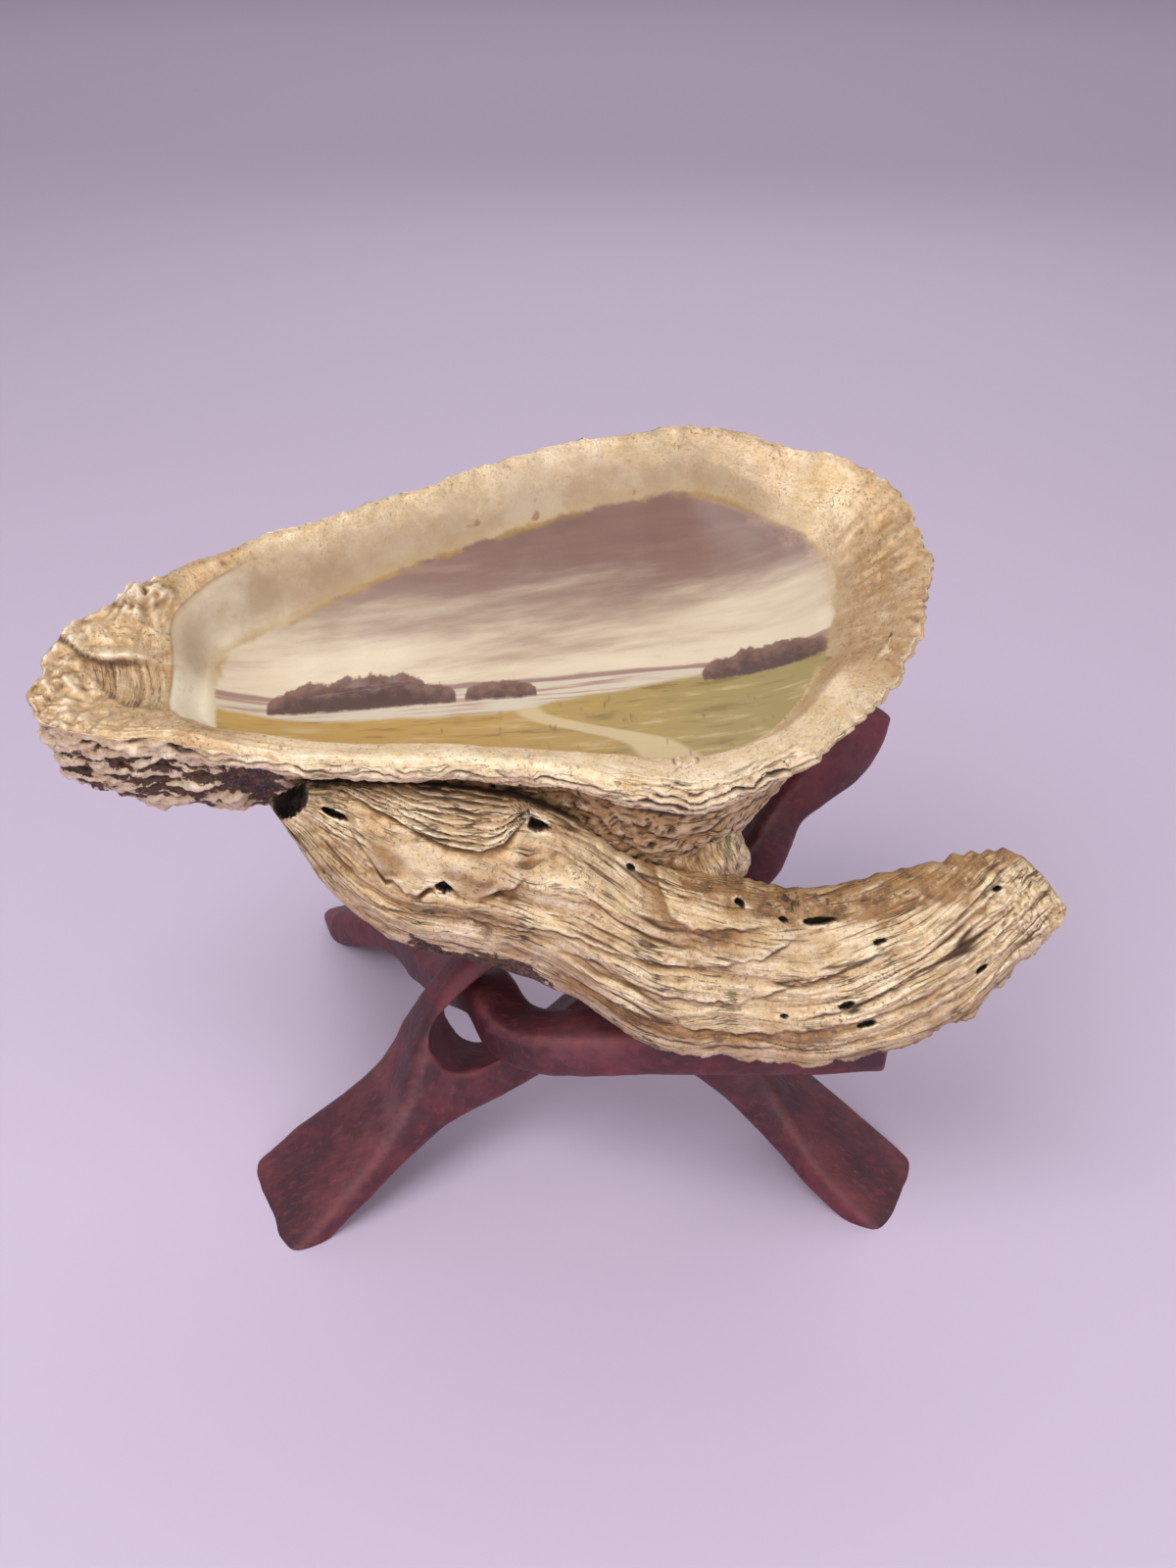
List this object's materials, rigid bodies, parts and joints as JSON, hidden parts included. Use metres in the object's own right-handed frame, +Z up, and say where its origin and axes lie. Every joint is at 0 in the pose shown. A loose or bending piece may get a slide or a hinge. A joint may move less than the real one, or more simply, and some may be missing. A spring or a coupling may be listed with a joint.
{
  "type": "painted oyster shell on a wooden stand",
  "caption": "Gilded oyster shell cluster with a cream, painted cup, resting on a carved interlocking wooden stand as a small display or trinket dish.",
  "frame": {"origin": "on the floor, under the middle of the object's box", "axes": "+Z up, +X along the shell from its beak to the tip of its tongue, -Y towards the side that the painted cup faces"},
  "size_m": [0.2015, 0.1249, 0.1452],
  "materials": {
    "gilded_shell": "gilded shell, satin, brown in the recesses, cream and painted inside the cup",
    "stained_wood": "dark red stain over carved wood, satin"
  },
  "bodies": {
    "root": {"oyster_shell": "gilded_shell", "stand_leg_front_left": "stained_wood", "stand_leg_front_right": "stained_wood", "stand_leg_back_left": "stained_wood"}
  },
  "joints": []
}
